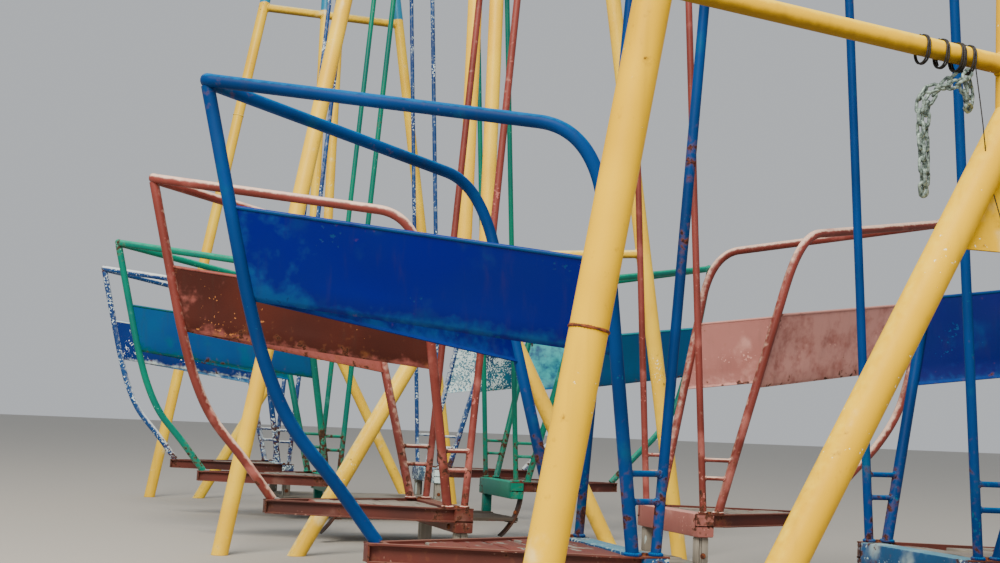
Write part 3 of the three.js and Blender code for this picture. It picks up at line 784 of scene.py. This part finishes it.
def deck_board(end, low_x, high_x, dice, cut_short=1.0):
    """A board across the deck. Ring v, from -1 to cut_short, is its rounded section in XZ moved to y = v half(x),
    where half is the width between the channels at that x. The edges and the lie wander by a millimetre or two."""
    spread = np.linspace(-1, cut_short, 16)[:, None]
    section = rounded(high_x - low_x, board_thick, 0.004)
    x = (low_x + high_x) / 2 + section[:, 0] + dice.normal(0, 0.0008, (16, 12))
    half = np.interp(x, (shoulder_x, tip_x), (deck_half, tip_half)) - channel_wide - 0.002
    lie = dice.normal(0, 0.0016) + spread * dice.normal(0, 0.0016) - 0.0035 * spread ** 2 * dice.random()
    z = section[:, 1] - board_thick / 2 - 0.005 + lie + dice.normal(0, 0.0005, (16, 12))
    if cut_short < 1:
        spread = spread + np.where(spread == cut_short, dice.normal(0, 0.08, 12), 0)
    return np.stack([end * x, spread * half, np.minimum(z, -0.001)], axis=-1)


flange = channel_wide - channel_wall
half_high, inner_high = channel_high / 2, channel_high / 2 - channel_wall
channel = np.array([[0, half_high], [-channel_wide, half_high], [-channel_wide, -half_high], [0, -half_high],
                    [0, -inner_high], [-flange, -inner_high], [-flange, inner_high], [0, inner_high]])
for number, boat, colour, origin in boats:
    for end, word in ends:
        dice = np.random.default_rng(40 + 10 * number + end)
        parts, stains = [], []
        for side in (-1, 1):
            shoulder = np.array([end * shoulder_x, side * deck_half, -half_high])
            tip = np.array([end * tip_x, side * tip_half, -half_high])
            inner = np.array([end * beam_x[0], side * deck_half, -half_high])
            line = [inner + (shoulder - inner) * np.linspace(0, 1, 5)[:-1, None],
                    shoulder + (tip - shoulder) * np.linspace(0, 1, 30)[:, None]]
            parts.append(sweep(origin + np.concatenate(line), channel, [0.0, side, 0]))
            stains += [origin + inner, origin + shoulder, origin + tip]
        parts += [cross_bar(origin + [end * (tip_x - 0.03), 0, -0.003], 0.036, 0.056, 0.005, 0.001),
                  cross_bar(origin + [end * (tip_x - 0.003), 0, -half_high - 0.001], 0.024, 0.005,
                            channel_high - 0.004, 0.001)]
        node = f"{boat}_{word}_deck"
        add_piece(f"{node}_channels", parts, boat, [node], paint["deck"], stains, 0.06)
        middle = origin + [end * sum(beam_x) / 2, 0, -beam_deep / 2]
        beam = cross_bar(middle, deck_half, beam_x[1] - beam_x[0], beam_deep - 0.002, 0.005)
        beam_coat = "deck" if (number, end) == rusty_beam else beam_coats[number - 1]
        add_piece(f"{boat}_{word}_beam", [beam], boat, [], paint[beam_coat],
                  [middle - deck_half * y_axis, middle + deck_half * y_axis], 0.08)
        boards = []
        for k, low_x in enumerate(np.arange(beam_x[1] + 0.003, 1.07, board_wide + board_gap)):
            cut_short = 0.1 if (number, end, k) == broken_board else 1.0
            boards.append(skin(deck_board(end, low_x, low_x + board_wide, dice, cut_short) + origin))
        add_piece(f"{boat}_{word}_boards", boards, boat, [],
                  painted_boards if (number, end) == painted_deck else wood_across)


# Foot wells: a lower floor of five boards between the decks, on steel cross-bars. Timber posts hold it under
# the box beams, with bolts through both. The green boat has bent black straps on its near side, and its posts
# on the far side are painted.
well_post, post_x, post_y = 0.046, 0.481, 0.244
well_depth, floor_thick, batten_thick = 0.19, 0.018, 0.006


def bolt(place, outwards):
    """A round washer with a six-sided head on it, standing out from a face."""
    outwards = np.asarray(outwards, float)
    washer = lathe(place - outwards * 0.004, place + outwards, [(0, 0.011), (0.0055, 0.011), (0.006, 0.0105)], 24)
    head = lathe(place + outwards * 0.001, place + outwards, [(0, 0.0085), (0.0055, 0.0085), (0.007, 0.007)], 6)
    return [washer, head]


for number, boat, colour, origin in boats:
    reach, half = post_x + well_post / 2, post_y + well_post / 2
    dice = np.random.default_rng(70 + number)
    boards, top = [], -well_depth - floor_thick / 2
    for y in np.linspace(-half + 0.052, half - 0.052, 5):
        lie = dice.normal(0, 0.0015, 2)
        start = origin + [-reach + 0.004 + dice.uniform(0, 0.006), y, top + lie[0]]
        boards.append(block(start, origin + [reach - 0.006, y, top + lie[1]], 0.1, floor_thick, y_axis, 0.003))
    add_piece(f"{boat}_floor_boards", boards, boat, [f"{boat}_foot_well"],
              dark_boards if number == 3 else wood_along)
    steel, bolts, posts, painted = [], [], [], []
    for x in (-post_x + 0.01, 0.0, post_x - 0.01):
        low = origin + [x, 0, -well_depth - floor_thick - batten_thick / 2 - 0.001]
        steel.append(cross_bar(low, half, 0.04, batten_thick, 0.001))
    for end in (-1, 1):
        for side in (-1, 1):
            head = origin + [end * post_x, side * post_y, -beam_deep - 0.001]
            foot = origin + [end * post_x, side * post_y, -well_depth + 0.001]
            if number == 3 and side < 0:
                bent = bezier(head + [0.035, 0, 0.085], head + [0.045, 0, -0.09], head + [-0.075, 0, -0.195], 30)
                steel.append(sweep(bent, rounded(0.062, 0.009, 0.0015), y_axis))
            elif number == 3:
                painted.append(block(head, foot, well_post, well_post, x_axis, 0.004))
            else:
                posts.append(block(head, foot, well_post, well_post, x_axis, 0.004))
            for height in (-0.03, -0.07):
                face = origin + [end * post_x + end * 0.035, side * (post_y - 0.03), height]
                bolts += bolt(face, [end, 0, 0])
            bolts += bolt(origin + [end * post_x, side * half, -well_depth + 0.03], [0, side, 0])
            rod = origin + [end * rod_foot, side * half_width, 0.0]
            bolts += bolt(rod + [end * 0.028, side * -0.004, 0.0], z_axis)
    add_piece(f"{boat}_well_steel", steel, boat, [], black_wire,
              [origin + [x, y, -well_depth] for x in (-post_x, post_x) for y in (-half, half)], 0.08)
    add_piece(f"{boat}_bolts", bolts, boat, [], rusty_steel)
    if posts:
        add_piece(f"{boat}_well_posts", posts, boat, [], wood_upright)
    if painted:
        add_piece(f"{boat}_painted_posts", painted, boat, [], paint[f"{colour}_tube"])


# Chain and wire: a spare length of zinc-plated chain hangs in loops from the first frame's left bar, and black
# binding wire, wound round bar and chain, holds it. One end of the wire hangs down.
link_wire, link_half_long, link_half_wide = 0.0035, 0.016, 0.0075


def chain(line, roll):
    """Links along a line: each is a stadium of wire in a plane that holds the line's tangent t. Its point at
    turn a is middle + t (straight sgn(cos a) + wide cos a) + side wide sin a, and side turns by 90 degrees and a
    little more from each link to the next."""
    walked = np.concatenate([[0], np.cumsum(np.linalg.norm(np.diff(line, axis=0), axis=1))])
    pitch = 2 * (link_half_long - link_wire)
    stops = np.arange(pitch / 2, walked[-1], pitch)
    middles = np.column_stack([np.interp(stops, walked, line[:, k]) for k in range(3)])
    tangents = unit(np.gradient(middles, axis=0))
    turn = np.arange(28) * 2 * np.pi / 28
    straight = link_half_long - link_half_wide
    links = []
    for k, (middle, tangent) in enumerate(zip(middles, tangents)):
        first = unit(np.cross(tangent, [0.3, 1.0, 0.2]))
        angle = roll + k * (math.pi / 2 + 0.12)
        side = math.cos(angle) * first + math.sin(angle) * np.cross(tangent, first)
        ring = (straight * np.sign(np.cos(turn) + 1e-9) + link_half_wide * np.cos(turn))[:, None] * tangent
        ring = middle + ring + (link_half_wide * np.sin(turn))[:, None] * side
        links.append(sweep(ring, circle(link_wire, 8), np.cross(tangent, side), closed=True))
    return links


bar_slope = (bar_leg_height - apex_height) / (leg_foot - leg_lean * bar_leg_height)
row_start = frame_places[0]
chain_lines = (
    [(-0.172, -0.01, 1.428), (-0.192, -0.02, 1.404), (-0.232, -0.02, 1.386), (-0.286, -0.014, 1.368),
     (-0.289, -0.012, 1.3), (-0.281, -0.01, 1.22), (-0.271, 0.0, 1.158), (-0.26, 0.01, 1.22),
     (-0.262, 0.012, 1.3), (-0.25, 0.014, 1.362), (-0.216, 0.012, 1.398), (-0.192, 0.008, 1.424)],
    [(-0.165, 0.012, 1.426), (-0.15, 0.016, 1.39), (-0.161, 0.004, 1.352), (-0.178, -0.008, 1.37),
     (-0.186, -0.006, 1.412)],
)
links = []
for k, knots in enumerate(chain_lines):
    links += chain(through(np.array(knots) + [0, row_start, 0], 160), k)
add_piece("frame_1_chain", links, "frame", [], dull_zinc)
wires = []
for start, turns in ((-0.284, 2.1), (-0.238, 2.4), (-0.2, 3.2), (-0.172, 2.3)):
    angle = np.linspace(0, turns * 2 * np.pi, int(turns * 40))
    x = start + 0.0042 * angle / (2 * np.pi) + 0.001 * np.sin(angle * 1.3)
    out = bar_radius + 0.0024 + 0.014 * np.maximum(-np.cos(angle), 0) ** 2
    coil = np.column_stack([x, row_start + out * np.sin(angle), apex_height - x * bar_slope + out * np.cos(angle)])
    wires.append(sweep(coil, circle(0.0022, 8), [1.0, 0, 0.02]))
tail = np.array([(-0.165, -0.022, 1.44), (-0.15, -0.026, 1.33), (-0.128, -0.02, 1.215), (-0.102, -0.03, 1.11)])
wires.append(sweep(through(tail + [0, row_start, 0], 40), circle(0.0013, 8), y_axis))
add_piece("frame_1_wire", wires, "frame", [], black_wire)
